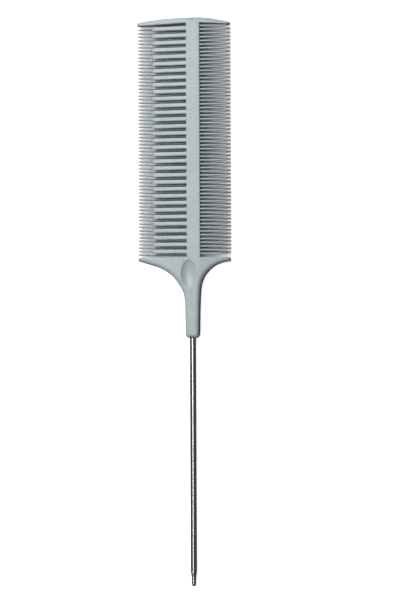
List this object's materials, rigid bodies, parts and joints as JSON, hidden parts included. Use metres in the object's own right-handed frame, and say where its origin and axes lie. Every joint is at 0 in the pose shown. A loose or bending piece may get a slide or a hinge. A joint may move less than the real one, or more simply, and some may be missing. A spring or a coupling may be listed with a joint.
{
  "type": "flea comb",
  "caption": "Slim double-sided grooming comb with a coarse and fine rows on one spine, a thumb recess and a steel pin tail.",
  "frame": {"origin": "middle of the overall box, on the flat back that the comb lies on", "axes": "+Z out of the front face, +Y from the tail towards the head, +X to the right of the front face with the head up"},
  "size_m": [0.0372, 0.225, 0.006],
  "materials": {
    "resin": "satin moulded resin, pale blue-grey",
    "steel": "polished drawn steel"
  },
  "bodies": {
    "root": {"spine": "resin", "coarse_teeth_front_left": "resin", "fine_teeth_front_right": "resin", "fine_teeth_rear_left": "resin", "fine_teeth_rear_right": "resin", "tip_guard": "resin", "shoulder": "resin", "neck": "resin", "tail_pin": "steel"}
  },
  "joints": []
}
